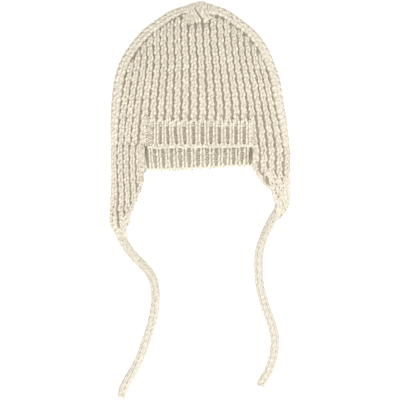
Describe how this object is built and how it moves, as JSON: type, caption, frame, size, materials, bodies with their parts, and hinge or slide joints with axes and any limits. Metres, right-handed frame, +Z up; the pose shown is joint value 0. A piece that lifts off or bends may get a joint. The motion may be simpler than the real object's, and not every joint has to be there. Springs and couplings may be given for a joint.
{
  "type": "baby bonnet",
  "caption": "Knitted baby bonnet with a ribbed rounded crown, ribbed front and nape bands, tapered ear flaps and round knitted ties.",
  "frame": {"origin": "middle of the lying bonnet without its ties, on the surface it lies on", "axes": "+Y from the flaps to the top of the crown, +Z up from the surface, X from the left flap to the right one"},
  "size_m": [0.1812, 0.397, 0.0398],
  "materials": {
    "chunky_rib_knit": "matt cream wool in chunky wavy ribs",
    "band_knit": "matt cream wool in plain one by one rib",
    "knitted_cord": "matt cream wool knitted into a round cord"
  },
  "bodies": {
    "root": {"crown": "chunky_rib_knit", "front_band": "band_knit", "back_band": "band_knit", "ear_flap_left": "chunky_rib_knit", "ear_flap_right": "chunky_rib_knit", "tie_left": "knitted_cord", "tie_right": "knitted_cord"}
  },
  "joints": []
}
